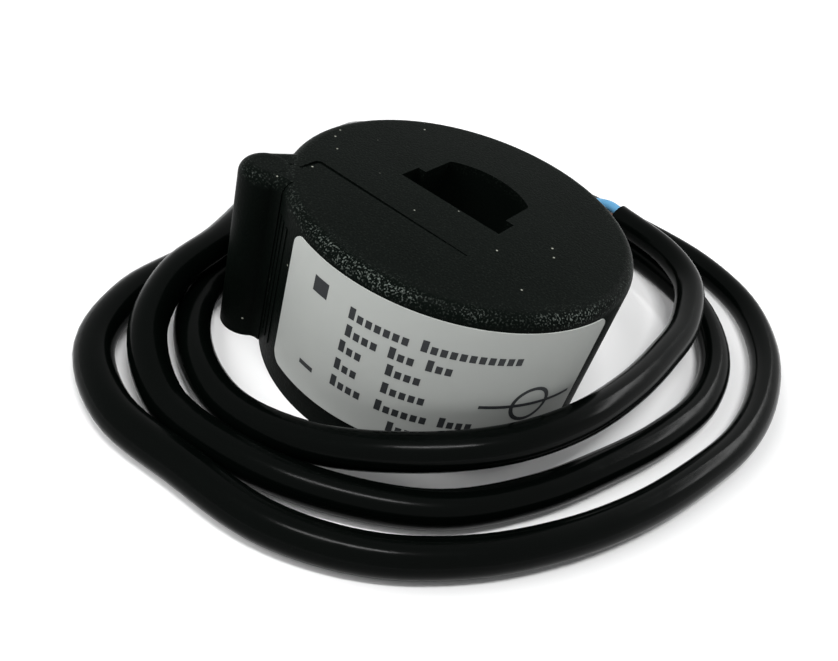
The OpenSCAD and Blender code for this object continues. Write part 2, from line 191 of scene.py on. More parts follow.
def seen_as_white(tree: Tree) -> Socket:
    """Tell the rays that see the white background from those that light the object.

    Args:
        tree: The node tree of the world or of the floor's material.

    Returns:
        A socket that is 1 for camera, glossy and transmission rays.
    """
    path = node(tree, "ShaderNodeLightPath").outputs
    pair = {"0": path["Is Camera Ray"], "1": path["Is Glossy Ray"]}
    either = node(tree, "ShaderNodeMath", pair, operation="MAXIMUM").outputs[0]
    pair = {"0": either, "1": path["Is Transmission Ray"]}
    return node(tree, "ShaderNodeMath", pair, operation="MAXIMUM").outputs[0]


# ---- Camera and studio -------------------------------------------------------


@dataclass(frozen=True)
class Lamp:
    """A soft rectangular lamp.

    Attributes:
        name: The lamp's name.
        at: Its place in millimetres.
        size: Width and height in millimetres.
        power: Power in watts.
        mirrored: Whether glossy surfaces show it as a highlight.
    """

    name: str
    at: Point
    size: tuple[float, float]
    power: float
    mirrored: bool = True

    def build(self, aim: Point) -> None:
        """Set the lamp up.

        Args:
            aim: The point in millimetres that it faces.
        """
        data = bpy.data.lights.new(self.name, "AREA")
        data.shape = "RECTANGLE"
        data.size, data.size_y = self.size[0] * MM, self.size[1] * MM
        data.energy = self.power
        lamp = add_object(self.name, data)
        lamp.location = Vector(self.at) * MM
        lamp.rotation_mode = "QUATERNION"
        lamp.rotation_quaternion = (Vector(aim) - Vector(self.at)).to_track_quat("-Z", "Y")
        lamp.visible_glossy = self.mirrored


@dataclass(frozen=True)
class Studio:
    """The camera, lamps, floor and white background.

    Attributes:
        camera_at: Where the camera stands, in millimetres.
        right: The camera's axis to the right, in the part's frame.
        up: Its upward axis.
        back: Its backward axis.
        lens: Focal length in millimetres on a sensor of the given width.
        sensor: The sensor's width in millimetres.
        clip: Nearest and farthest distance that the camera sees, in metres.
        surround: sRGB hex of the light that the surround casts on the object.
        surround_strength: That light's strength.
        floor_colour: sRGB hex of the floor.
        floor_reach: Half the floor's side in metres.
        glow_over: Distances in millimetres between which the floor's own glow grows, so that it is
            white far from the lamps and keeps the shadows near the object.
        glow: The glow's strength at those distances.
        aim: The point in millimetres that all lamps face.
        lamps: The lamps.
    """

    camera_at: Point = (40.56, -84.967, 76.577)
    right: Point = (0.77031, 0.58788, 0.24705)
    up: Point = (-0.53666, 0.3884, 0.7491)
    back: Point = (0.34443, -0.70961, 0.61467)
    lens: float = 34.162
    sensor: float = 36.0
    clip: Span = (0.01, 10.0)
    surround: str = "e8ecee"
    surround_strength: float = 0.12
    floor_colour: str = "f0f0f0"
    floor_reach: float = 2.0
    glow_over: Span = (60.0, 150.0)
    glow: Span = (0.06, 1.0)
    aim: Point = (0, 0, 10)
    lamps: tuple[Lamp, ...] = (
        Lamp("key_softbox", (62, -88, 335), (150, 30), 0.8),
        Lamp("rear_strip", (115, 260, 190), (200, 30), 0.26),
        Lamp("front_softbox", (-150, -215, 240), (240, 200), 0.84, mirrored=False),
        Lamp("back_softbox", (-160, 240, 260), (260, 200), 0.25, mirrored=False),
    )

    def camera(self) -> None:
        """Set the camera up and make it the scene's camera."""
        data = bpy.data.cameras.new("camera")
        data.lens = self.lens
        data.sensor_width = self.sensor
        data.clip_start, data.clip_end = self.clip
        camera = add_object("camera", data)
        axes = Matrix((self.right, self.up, self.back)).transposed()
        camera.matrix_world = Matrix.Translation(Vector(self.camera_at) * MM) @ axes.to_4x4()
        bpy.context.scene.camera = camera

    def world(self) -> None:
        """Make a dim surround that camera and mirror rays see as white."""
        world = bpy.data.worlds.new("studio_surround")
        world.use_nodes = True
        bpy.context.scene.world = world
        tree = world.node_tree
        tree.nodes.clear()
        light = {"Color": linear(self.surround), "Strength": self.surround_strength}
        ambient = node(tree, "ShaderNodeBackground", light)
        white = node(tree, "ShaderNodeBackground", {"Color": WHITE, "Strength": 1.0})
        choice = {"0": seen_as_white(tree), "1": ambient.outputs[0], "2": white.outputs[0]}
        mix = node(tree, "ShaderNodeMixShader", choice)
        node(tree, "ShaderNodeOutputWorld", {"Surface": mix.outputs[0]})

    def floor_material(self) -> bpy.types.Material:
        """Make the floor's material, which glows only for the rays that see it.

        Returns:
            The material.
        """
        material = bpy.data.materials.new("white_table")
        material.use_nodes = True
        tree = material.node_tree
        tree.nodes.clear()
        matt = node(tree, "ShaderNodeBsdfDiffuse", {"Color": linear(self.floor_colour)})
        place = node(tree, "ShaderNodeTexCoord").outputs["Object"]
        away = node(tree, "ShaderNodeVectorMath", {"0": place}, operation="LENGTH").outputs["Value"]
        grown = Fade(*self.glow_over, *self.glow, MM).of(away)
        strength = node(tree, "ShaderNodeMapRange", grown).outputs["Result"]
        glow = node(tree, "ShaderNodeEmission", {"Color": WHITE, "Strength": strength})
        lit = node(tree, "ShaderNodeAddShader", {"0": matt.outputs[0], "1": glow.outputs[0]})
        choice = {"0": seen_as_white(tree), "1": matt.outputs[0], "2": lit.outputs[0]}
        mix = node(tree, "ShaderNodeMixShader", choice)
        node(tree, "ShaderNodeOutputMaterial", {"Surface": mix.outputs[0]})
        return material

    def floor(self) -> None:
        """Lay a pale floor that shows white apart from the object's shadow."""
        bm = bmesh.new()
        bmesh.ops.create_grid(bm, x_segments=1, y_segments=1, size=self.floor_reach)
        mesh_object("floor", bm, self.floor_material())

    def build(self) -> None:
        """Set up everything round the object."""
        self.camera()
        self.world()
        self.floor()
        for lamp in self.lamps:
            lamp.build(self.aim)


# ---- Finishes ----------------------------------------------------------------


@dataclass(frozen=True)
class Dust:
    """Small round specks that lie here and there.

    Attributes:
        colour: sRGB hex of the specks.
        pitch: Size in millimetres of the cells that can hold one speck each.
        radius: A speck's radius in millimetres.
        share: Share of the cells that hold one, from 0 to 1.
        core: Share of a speck's radius inside which it hides all that is below it.
    """

    colour: str
    pitch: float
    radius: float
    share: float
    core: float = 0.6

    def over(self, tree: Tree, place: Socket, below: Socket | Colour) -> Socket:
        """Scatter the specks.

        Args:
            tree: The material's node tree.
            place: The coordinates.
            below: The colour that they lie on.

        Returns:
            The colour with the specks on it.
        """
        inputs = {"Vector": place, "Scale": 1 / (self.pitch * MM)}
        cells = node(tree, "ShaderNodeTexVoronoi", inputs).outputs
        edge = self.radius / self.pitch
        inside = Fade(edge, edge * self.core).of(cells["Distance"])
        near = node(tree, "ShaderNodeMapRange", inside).outputs["Result"]
        drawn = {"0": cells["Color"], "1": 1 - self.share}
        chosen = node(tree, "ShaderNodeMath", drawn, operation="GREATER_THAN").outputs[0]
        pair = {"0": near, "1": chosen}
        speck = node(tree, "ShaderNodeMath", pair, operation="MULTIPLY").outputs[0]
        layers = {"0": speck, "6": below, "7": linear(self.colour)}
        return node(tree, "ShaderNodeMix", layers, data_type="RGBA").outputs[2]


class Surface(ABC):
    """A finish with a colour pattern, an uneven roughness and a fine relief.

    Attributes:
        name: The material's name.
        roughness: Mean roughness.
        spread: How far the roughness departs from its mean, both ways.
        specular: Specular level, where 0.5 is that of a polished plastic.
    """

    name: str
    roughness: float
    spread: Span
    specular: float

    @abstractmethod
    def colours(self, tree: Tree, place: Socket) -> Socket:
        """Make the colour pattern.

        Args:
            tree: The material's node tree.
            place: The coordinates.

        Returns:
            The colour's socket.
        """

    @abstractmethod
    def relief(self, tree: Tree, place: Socket) -> tuple[Socket, Node]:
        """Make the relief.

        Args:
            tree: The material's node tree.
            place: The coordinates.

        Returns:
            The pattern that the roughness follows, and the relief's bump node.
        """

    def build(self) -> bpy.types.Material:
        """Build the material.

        Returns:
            The material.
        """
        material = bpy.data.materials.new(self.name)
        material.use_nodes = True
        tree = material.node_tree
        shader = tree.nodes["Principled BSDF"]
        place = node(tree, "ShaderNodeTexCoord").outputs["Object"]
        unevenness, bump = self.relief(tree, place)
        least, most = (self.roughness + change for change in self.spread)
        ends = Fade(least=least, most=most).of(unevenness)
        rough = node(tree, "ShaderNodeMapRange", ends).outputs["Result"]
        tree.links.new(self.colours(tree, place), shader.inputs["Base Color"])
        tree.links.new(rough, shader.inputs["Roughness"])
        tree.links.new(bump.outputs["Normal"], shader.inputs["Normal"])
        shader.inputs["Specular IOR Level"].default_value = self.specular
        return material


@dataclass(frozen=True)
class FineGrained(Surface):
    """A moulded, drawn, coated or printed surface: even colour, fine grain and a soft sheen.

    Attributes:
        name: The material's name.
        colour: sRGB hex of the material.
        mottle: sRGB hex of its patches of a slightly other tone.
        roughness: Mean roughness.
        grain: Size of the grain in millimetres, a little coarser than the real one so that it
            shows.
        depth: Depth of the grain in millimetres.
        specular: Specular level, where 0.5 is that of a polished plastic.
        spread: How far the roughness departs from its mean, both ways.
        mottle_size: Size of those patches in millimetres.
    """

    name: str
    colour: str
    mottle: str
    roughness: float
    grain: float = 0.35
    depth: float = 0.03
    specular: float = 0.3
    spread: Span = (-0.08, 0.1)
    mottle_size: float = 9.0

    def colours(self, tree: Tree, place: Socket) -> Socket:
        """Make the patches of the two colours.

        Args:
            tree: The material's node tree.
            place: The coordinates.

        Returns:
            The colour's socket.
        """
        pattern = {"Vector": place, "Scale": 1 / (self.mottle_size * MM), "Detail": CLOUDY}
        patches = node(tree, "ShaderNodeTexNoise", pattern).outputs["Fac"]
        tones = {"0": patches, "6": linear(self.colour), "7": linear(self.mottle)}
        return node(tree, "ShaderNodeMix", tones, data_type="RGBA").outputs[2]

    def relief(self, tree: Tree, place: Socket) -> tuple[Socket, Node]:
        """Make the grain, which the roughness follows.

        Args:
            tree: The material's node tree.
            place: The coordinates.

        Returns:
            The grain's socket and its bump node.
        """
        pattern = {"Vector": place, "Scale": 1 / (self.grain * MM), "Detail": GRAINY}
        grain = node(tree, "ShaderNodeTexNoise", pattern).outputs["Fac"]
        bump = {"Height": grain, "Distance": self.depth * MM, "Strength": 1.0}
        return grain, node(tree, "ShaderNodeBump", bump)


@dataclass(frozen=True)
class SparkErodedCase(FineGrained):
    """Black case with a spark-eroded grain, dusty from use, with a painted sheen on the peaks of
    its top's grain and a pale top edge that is partly wear and partly a painted highlight.

    Attributes:
        wear_and_highlight: sRGB hex of the pale grain on the top edge, which is partly wear and
            partly a painted highlight.
        peak_sheen: sRGB hex of the painted sheen on the grain's peaks on the top.
        dust: The dust.
        near_top: Growth with height, up the edge's rounding, of the pale edge with its wear and
            painted highlight, and of the painted sheen on the peaks.
        off_flat: Its fall with height, up to the flat top.
        near_rim: Its growth with the distance from the axis.
        in_patches: Its growth with the noise of its patches.
        off_pillar: Its growth along X, away from the pillar.
        on_peaks: Its growth with the noise of the grain's peaks.
        patch: Size of its patches in millimetres.
        peak_size: Size of a peak, as a share of the grain.
    """

    # Pale top edge: partly wear, partly a painted highlight
    wear_and_highlight: str = "6a716c"
    # Painted sheen on the peaks of the top's grain
    peak_sheen: str = "171b18"
    dust: Dust = Dust("9a9c92", 2.4, 0.18, 0.4)
    near_top: Fade = Fade(24.3, 25.4, unit=MM)
    off_flat: Fade = Fade(25.96, 25.84, 0.12, unit=MM)
    near_rim: Fade = Fade(20.8, 22.3, unit=MM)
    in_patches: Fade = Fade(0.4, 0.6, 0.15)
    off_pillar: Fade = Fade(-21.0, -2.0, 0.3, unit=MM)
    on_peaks: Fade = Fade(0.55, 0.7)
    patch: float = 14.0
    peak_size: float = 0.7

    def sheen_and_wear(self, tree: Tree, place: Socket) -> tuple[Socket, Socket]:
        """Find where the grain is paler: a painted sheen on the top's peaks, and an edge pale from
        wear and from a painted highlight.

        Args:
            tree: The material's node tree.
            place: The coordinates.

        Returns:
            The shares of the painted sheen on the peaks all over the top, and of the edge that is
            pale from wear and a painted highlight.
        """
        axis = node(tree, "ShaderNodeSeparateXYZ", {"Vector": place}).outputs
        flat = {"0": place, "1": (1.0, 1.0, 0.0)}
        across = node(tree, "ShaderNodeVectorMath", flat, operation="MULTIPLY").outputs["Vector"]
        radius = node(tree, "ShaderNodeVectorMath", {"0": across}, operation="LENGTH")
        clouds = []
        for size in (self.patch, self.grain * self.peak_size):
            pattern = {"Vector": place, "Scale": 1 / (size * MM), "Detail": CLOUDY}
            clouds.append(node(tree, "ShaderNodeTexNoise", pattern).outputs["Fac"])
        shares = [
            node(tree, "ShaderNodeMapRange", fade.of(value)).outputs["Result"]
            for fade, value in (
                (self.near_top, axis["Z"]),
                (self.off_flat, axis["Z"]),
                (self.near_rim, radius.outputs["Value"]),
                (self.in_patches, clouds[0]),
                (self.off_pillar, axis["X"]),
                (self.on_peaks, clouds[1]),
            )
        ]
        # Share of the pale edge, which is wear and a painted highlight
        wear_and_highlight_share = shares[0]
        for share in shares[1:]:
            pair = {"0": wear_and_highlight_share, "1": share}
            wear_and_highlight_share = node(tree, "ShaderNodeMath", pair, operation="MULTIPLY").outputs[0]
        pair = {"0": shares[0], "1": shares[-1]}
        return node(tree, "ShaderNodeMath", pair, operation="MULTIPLY").outputs[0], wear_and_highlight_share

    def colours(self, tree: Tree, place: Socket) -> Socket:
        """Make the colours: a painted sheen on the peaks of the top's grain, a paler edge that is
        wear and a painted highlight, and dust.

        Args:
            tree: The material's node tree.
            place: The coordinates.

        Returns:
            The colour's socket.
        """
        colour = super().colours(tree, place)
        # Painted sheen on the top's grain peaks first, then the edge's wear and painted highlight
        for share, tone in zip(self.sheen_and_wear(tree, place), (self.peak_sheen, self.wear_and_highlight)):
            layers = {"0": share, "6": colour, "7": linear(tone)}
            colour = node(tree, "ShaderNodeMix", layers, data_type="RGBA").outputs[2]
        return self.dust.over(tree, place, colour)


@dataclass(frozen=True)
class CableJacket(Surface):
    """Extruded soft PVC: smooth and semi-gloss, with faint handling marks and a little dust.

    Attributes:
        name: The material's name.
        colour: sRGB hex of the compound.
        roughness: Mean roughness.
        specular: Specular level, where 0.5 is that of a polished plastic.
        spread: How far the roughness departs from its mean, both ways.
        dust: The dust.
        marks: Size of the handling marks in millimetres.
        waves: Size of the extrusion's faint waves in millimetres.
        depth: Depth of those waves in millimetres.
        strength: Strength of their bump, from 0 to 1.
    """

    name: str
    colour: str
    roughness: float
    specular: float = 0.35
    spread: Span = (-0.08, 0.12)
    dust: Dust = Dust("9a9d95", 2.6, 0.2, 0.12)
    marks: float = 3.0
    waves: float = 0.6
    depth: float = 0.008
    strength: float = 0.6

    def colours(self, tree: Tree, place: Socket) -> Socket:
        """Make the plain colour with its dust."""
        return self.dust.over(tree, place, linear(self.colour))

    def relief(self, tree: Tree, place: Socket) -> tuple[Socket, Node]:
        """Make the handling marks, which the roughness follows, and the faint waves.

        Args:
            tree: The material's node tree.
            place: The coordinates.

        Returns:
            The marks' socket and the waves' bump node.
        """
        pattern = {"Vector": place, "Scale": 1 / (self.marks * MM), "Detail": MARKED}
        marks = node(tree, "ShaderNodeTexNoise", pattern).outputs["Fac"]
        pattern = {"Vector": place, "Scale": 1 / (self.waves * MM), "Detail": CLOUDY}
        waves = node(tree, "ShaderNodeTexNoise", pattern).outputs["Fac"]
        bump = {"Height": waves, "Distance": self.depth * MM, "Strength": self.strength}
        return marks, node(tree, "ShaderNodeBump", bump)


class Finish(Enum):
    """The finishes of this object's pieces. A comment says what each gives the eye."""

    # ABS moulded on spark-eroded steel: a dull black grain that breaks highlights up, with a
    # painted sheen on its top and a painted highlight on its pale top edge
    CASE = SparkErodedCase(
        "spark_eroded_abs", "050806", "090d0b", 0.42, depth=0.05, specular=0.012
    )
    # ABS moulded on plainer steel: a shade greyer than the case, with a shallower grain
    COVER = FineGrained("moulded_abs_cover", "121513", "171b18", 0.55, specular=0.04)
    # Soft PVC moulded over the lead: black and matt, with a finer grain
    RELIEF = FineGrained(
        "moulded_soft_pvc", "080a09", "0c0e0d", 0.5, grain=0.2, specular=0.02
    )
    # PVC drawn through a die: deep black with a long narrow highlight
    SHEATH = CableJacket("extruded_black_pvc", "030504", 0.16, specular=0.04)
    # The cores' PVC, drawn as well: light blue and brown with a soft shine
    BLUE = CableJacket("extruded_blue_pvc", "5f9dc6", 0.35)
    BROWN = CableJacket("extruded_brown_pvc", "6a3f26", 0.38)
    # Coated film: an even silver-white with hardly any grain
    LABEL = FineGrained(
        "satin_polyester_film", "b3b6b2", "acafac", 0.42, grain=0.5, depth=0.004
    )
    # Ink pressed on hot: flat near-black, a little duller than the film
    INK = FineGrained(
        "thermal_transfer_ink", "26282a", "2c2e30", 0.5, grain=0.3, depth=0.003
    )
    # Drawn and tinned wire: pale and warm, the brightest of the cut ends
    TINNED = FineGrained(
        "tinned_copper", "b9b4aa", "a9a49a", 0.3, grain=0.3, depth=0.004, specular=0.5
    )
    # The inside, which only a section shows: mid-grey rolled steel, amber tape, copper-red
    # enamel, milky nylon and dull grey foam
    STEEL = FineGrained("strip_wound_steel", "8a8c90", "7a7c80", 0.4)
    FILM = FineGrained("polyester_tape", "c9a53a", "bd9a34", 0.35)
    ENAMEL = FineGrained("enamelled_copper", "9a5226", "8a461e", 0.35)
    NATURAL = FineGrained("natural_nylon", "d2d0c4", "c8c6ba", 0.5)
    FOAM = FineGrained("closed_cell_foam", "74767a", "6a6c70", 0.8, grain=0.5, depth=0.05)


class Palette:
    """Builds each finish once."""

    def __init__(self) -> None:
        """Start with no material made."""
        self.made: dict[Finish, bpy.types.Material] = {}

    def __getitem__(self, finish: Finish) -> bpy.types.Material:
        """Give a finish's material, made on first use.

        Args:
            finish: The finish.

        Returns:
            Its material.
        """
        if finish not in self.made:
            self.made[finish] = finish.value.build()
        return self.made[finish]


# ---- Cords -------------------------------------------------------------------

UP = Vector((0, 0, 1))
TINY = 1e-9


@dataclass(frozen=True)
class Cord:
    """A round cord that follows chosen points in one smooth line.

    Attributes:
        name: The piece's name.
        node_name: The solid that it stands for.
        points: The route in millimetres.
        diameter: Diameter in millimetres.
        steps: Stretches between two neighbouring points of the route.
        roundness: Subdivisions of a quarter of the section.
    """

    name: str
    node_name: str
    points: Sequence[Point]
    diameter: float
    steps: int = 6
    roundness: int = 8

    def stretch(self, before: Vector, a: Vector, b: Vector, after: Vector) -> list[Vector]:
        """Run from one point of the route to the next, smoothly and without overshoot.

        Args:
            before: The point before the stretch, in metres, as the others are.
            a: The point where it starts.
            b: The point where it ends.
            after: The point after it.

        Returns:
            The stretch's points, with a and without b.
        """
        pairs = ((before, a), (a, b), (b, after))
        lag, gap, lead = (max((q - p).length, TINY) ** 0.5 for p, q in pairs)
        into = ((a - before) / lag - (b - before) / (lag + gap) + (b - a) / gap) * gap
        outof = ((b - a) / gap - (after - a) / (gap + lead) + (after - b) / lead) * gap
        out = []
        for k in range(self.steps):
            t = k / self.steps
            out.append(
                a * (2 * t**3 - 3 * t**2 + 1)
                + into * (t**3 - 2 * t**2 + t)
                + b * (3 * t**2 - 2 * t**3)
                + outof * (t**3 - t**2)
            )
        return out

    def line(self) -> list[Vector]:
        """Run a smooth line through the route's points, and keep it on the ground or above.

        Returns:
            The line's points in metres.
        """
        pts = [Vector(p) * MM for p in self.points]
        ends = [2 * pts[0] - pts[1], *pts, 2 * pts[-1] - pts[-2]]
        out: list[Vector] = []
        for i in range(1, len(ends) - 2):
            out += self.stretch(*ends[i - 1 : i + 3])
        low = self.diameter / 2 * MM
        return [Vector((p.x, p.y, max(p.z, low))) for p in [*out, pts[-1]]]

    def build(self, material: bpy.types.Material) -> tuple[bpy.types.Object, float]:
        """Make the cord as a curve of one open spline.

        Args:
            material: Its material.

        Returns:
            The curve and its length in metres.
        """
        line = self.line()
        data = bpy.data.curves.new(self.name, "CURVE")
        data.dimensions = "3D"
        data.bevel_depth = self.diameter / 2 * MM
        data.bevel_resolution = self.roundness
        data.use_fill_caps = True
        data.resolution_u = 1
        spline = data.splines.new("POLY")
        spline.points.add(len(line) - 1)
        for knot, p in zip(spline.points, line):
            knot.co = (p.x, p.y, p.z, 1.0)
        spline.use_smooth = True
        data.materials.append(material)
        piece = add_object(self.name, data)
        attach(piece, ROOT)
        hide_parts(self.node_name)
        return piece, sum((b - a).length for a, b in zip(line, line[1:]))


@dataclass(frozen=True)
class Strands:
    """The bared end of a core: fine tinned wires, six twisted round a middle one.

    Attributes:
        name: The piece's name.
        node_name: The solid that it stands for.
        wire: Diameter of one wire in millimetres.
        length: Length of the bared end in millimetres.
        turns: Turns of the twist in that length.
        around: Number of wires round the middle one.
        pitch: Distance of those wires from the middle, in wire diameters.
        steps: Straight stretches in a wire.
        lap: Length of a stretch's cylinder, in lengths of the stretch.
        sides: Sides of a wire.
    """

    name: str
    node_name: str
    wire: float = 0.38
    length: float = 6.0
    turns: float = 0.8
    around: int = 6
    pitch: float = 0.98
    steps: int = 16
    lap: float = 1.02
    sides: int = 10

    def point(self, wire: int, share: float) -> Vector:
        """Find a point of a wire.

        Args:
            wire: The wire's number. The last one is in the middle.
            share: How far along the wire the point lies, from 0 to 1.

        Returns:
            The point in millimetres, with the core's end at the origin and Z along the twist.
        """
        off = 0.0 if wire == self.around else self.wire * self.pitch
        turn = math.tau * (wire / self.around + self.turns * share)
        return Vector((off * math.cos(turn), off * math.sin(turn), self.length * share))

    def build(self, before: Vector, end: Vector, material: bpy.types.Material) -> bpy.types.Object:
        """Run the wires on from the core's end.

        Args:
            before: A point of the core just before its end, in metres.
            end: The core's end, in metres.
            material: The wires' material.

        Returns:
            The mesh of all the wires.
        """
        bm = bmesh.new()
        radius = self.wire / 2
        for wire in range(self.around + 1):
            for i in range(self.steps):
                a, b = (self.point(wire, j / self.steps) for j in (i, i + 1))
                along = UP.rotation_difference(b - a).to_matrix().to_4x4()
                bmesh.ops.create_cone(
                    bm,
                    cap_ends=True,
                    segments=self.sides,
                    radius1=radius,
                    radius2=radius,
                    depth=(b - a).length * self.lap,
                    matrix=Matrix.Translation((a + b) / 2) @ along,
                )
        aim = UP.rotation_difference(end - before).to_matrix().to_4x4()
        lie = Matrix.Translation(end) @ aim @ Matrix.Scale(MM, 4)
        bmesh.ops.transform(bm, matrix=lie, verts=bm.verts)
        piece = mesh_object(self.name, bm, material)
        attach(piece, ROOT)
        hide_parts(self.node_name)
        return piece


LEAD_D = 5.0
CORE_D = 1.9
# Heights of the lead's and a core's axis where they lie on the table
G = LEAD_D / 2
C = CORE_D / 2
LEAD_ROUTE: tuple[Point, ...] = (
    (0, 33, 6.1), (0, 36, 6.1), (-0.8, 41.5, 6.8), (-4.3, 48.8, 7.7), (-12.5, 54.6, 7.8),
    (-23.3, 55.7, 5), (-31.3, 51.3, 2.9), (-36.8, 43, G), (-40, 31, G), (-40.7, 19.5, G),
    (-38.6, 7.5, G), (-35.2, -4.5, G), (-32.6, -16, G), (-31, -28, G), (-25.3, -38, G),
    (-15, -42.9, G), (-3.5, -42.4, G), (8.4, -40.9, G), (18.9, -35.6, G), (27.6, -26.9, G),
    (34.6, -15.8, G), (39.7, -3.8, G), (43.2, 9, G), (45.4, 22, G), (44.9, 35, G), (41, 49, G),
    (33, 60.3, G), (21.5, 65.7, G), (8.5, 66, G), (-5, 64, G), (-18.5, 62, G), (-31.5, 59.5, G),
    (-39.5, 53.8, G), (-44.2, 45.9, 2.7), (-44.9, 37.3, 4.9), (-42.4, 29.6, 7.3),
    (-40.7, 22.5, 7.7), (-38.7, 13.5, 7.7), (-36.4, 4.5, 7.7), (-32.8, -4.5, 7.7),
    (-29, -14.5, 7.7), (-26.8, -24.5, 7), (-21.5, -33, 4.8), (-11.5, -37.6, G), (0.7, -36.4, G),
    (11.7, -31.7, G), (21.2, -24.2, G), (28, -13.2, G), (32.6, -1, G), (36.2, 12, G),
    (37.8, 25.5, G), (35, 39, G), (27, 50.3, G), (14.5, 56, G), (1, 56.5, G), (-11.5, 51.8, G),
    (-22.5, 42.8, G), (-30.5, 31, G), (-33.5, 18, G), (-31.8, 5, G), (-28.2, -7.5, G),
    (-26.1, -19.5, G), (-18, -28.2, G), (-7.5, -32, 2.6), (4, -30.4, 4.4), (14.4, -24.6, 7.2),
    (22.6, -15.8, 9.2), (27.2, -4.8, 9.6), (29.2, 8, 9), (29.5, 21, 8.2), (28.6, 34, 7.6),
    (24, 47.3, 7.5), (17, 53.2, 7.6), (5.1, 56, 7.6),
)
BLUE_ROUTE: tuple[Point, ...] = (
    (5.3, 56.85, 8.2), (2.75, 57.45, 8.2), (0.3, 58.2, 7.3), (-3, 59.4, 5.4), (-7, 60, 3.2),
    (-11.5, 59.3, 1.7), (-16, 58.3, C), (-22.7, 57, C),
)
BROWN_ROUTE: tuple[Point, ...] = (
    (4.9, 55.15, 7), (3.1, 55.25, 7), (1.4, 54.9, 6.9), (-0.1, 53.9, 6.5), (-1.2, 52.3, 5.7),
    (-2, 50.1, 4.3), (-3.2, 47.6, 2.5), (-5.6, 45.2, 1.2), (-9, 43.2, C), (-13, 41.2, C),
    (-17.2, 39.2, C),
)


@dataclass(frozen=True)
class Lead:
    """The free lead: its sheath, two cores and their bare strands.

    Attributes:
        diameter: The sheath's diameter in millimetres.
        core_diameter: A core's diameter in millimetres.
        route: The sheath's route in millimetres.
        blue: The blue core's route in millimetres.
        brown: The brown core's route in millimetres.
    """

    diameter: float = LEAD_D
    core_diameter: float = CORE_D
    route: tuple[Point, ...] = LEAD_ROUTE
    blue: tuple[Point, ...] = BLUE_ROUTE
    brown: tuple[Point, ...] = BROWN_ROUTE

    @staticmethod
    def tip(colour: str, route: Sequence[Point], palette: Palette) -> bpy.types.Object:
        """Make a core's bare strands.

        Args:
            colour: The core's colour, for the names.
            route: The core's route in millimetres.
            palette: The materials.

        Returns:
            The strands.
        """
        before, end = (Vector(p) * MM for p in route[-2:])
        strands = Strands(f"{colour}_tinned_wires", f"{colour}_strands")
        return strands.build(before, end, palette[Finish.TINNED])

    def build(self, palette: Palette) -> list[bpy.types.Object]:
        """Args:
            palette: The materials.

        Returns:
            The sheath, the cores and their strands.
        """
        lead = Cord("lead_jacket", "lead_sheath", self.route, self.diameter)
        blue = Cord("blue_insulation", "blue_core", self.blue, self.core_diameter)
        brown = Cord("brown_insulation", "brown_core", self.brown, self.core_diameter)
        sheath, length = lead.build(palette[Finish.SHEATH])
        cores = [blue.build(palette[Finish.BLUE]), brown.build(palette[Finish.BROWN])]
        [c * MM for c in self.route[0]]
        self.diameter * MM
        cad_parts["strain_relief"]
        routes = (self.blue, self.brown)
        tips = [self.tip(*named, palette) for named in zip(("blue", "brown"), routes)]
        for (piece, run), route, tip in zip(cores, routes, tips):
            [c * MM for c in route[0]]
        LOG.info("lead %.3f m, cores %.3f and %.3f m", length, *(run for _, run in cores))
        return [sheath, *(piece for piece, _ in cores), *tips]


# ---- The label's print -------------------------------------------------------


@dataclass(frozen=True)
class Bar:
    """A printed bar.

    Attributes:
        angle: Its left edge in degrees from +X.
        low: Its lower edge in millimetres.
        width: Its width round the label in millimetres.
        height: Its height in millimetres.
    """

    angle: float
    low: float
    width: float
    height: float


@dataclass(frozen=True)
class Ring:
    """A printed ring.

    Attributes:
        angle: Its centre in degrees from +X.
        middle: Its centre's height in millimetres.
        outer: Its outer radius in millimetres.
        stroke: Width of its line in millimetres.
        steps: Facets all round it.
    """

    angle: float
    middle: float
    outer: float
    stroke: float
    steps: int = 48


@dataclass(frozen=True)
class Row:
    """A row of short bars in groups, in place of words.

    Attributes:
        angle: Its left end in degrees from +X.
        low: Its lower edge in millimetres.
        groups: Number of bars in each group.
    """

    angle: float
    low: float
    groups: tuple[int, ...]


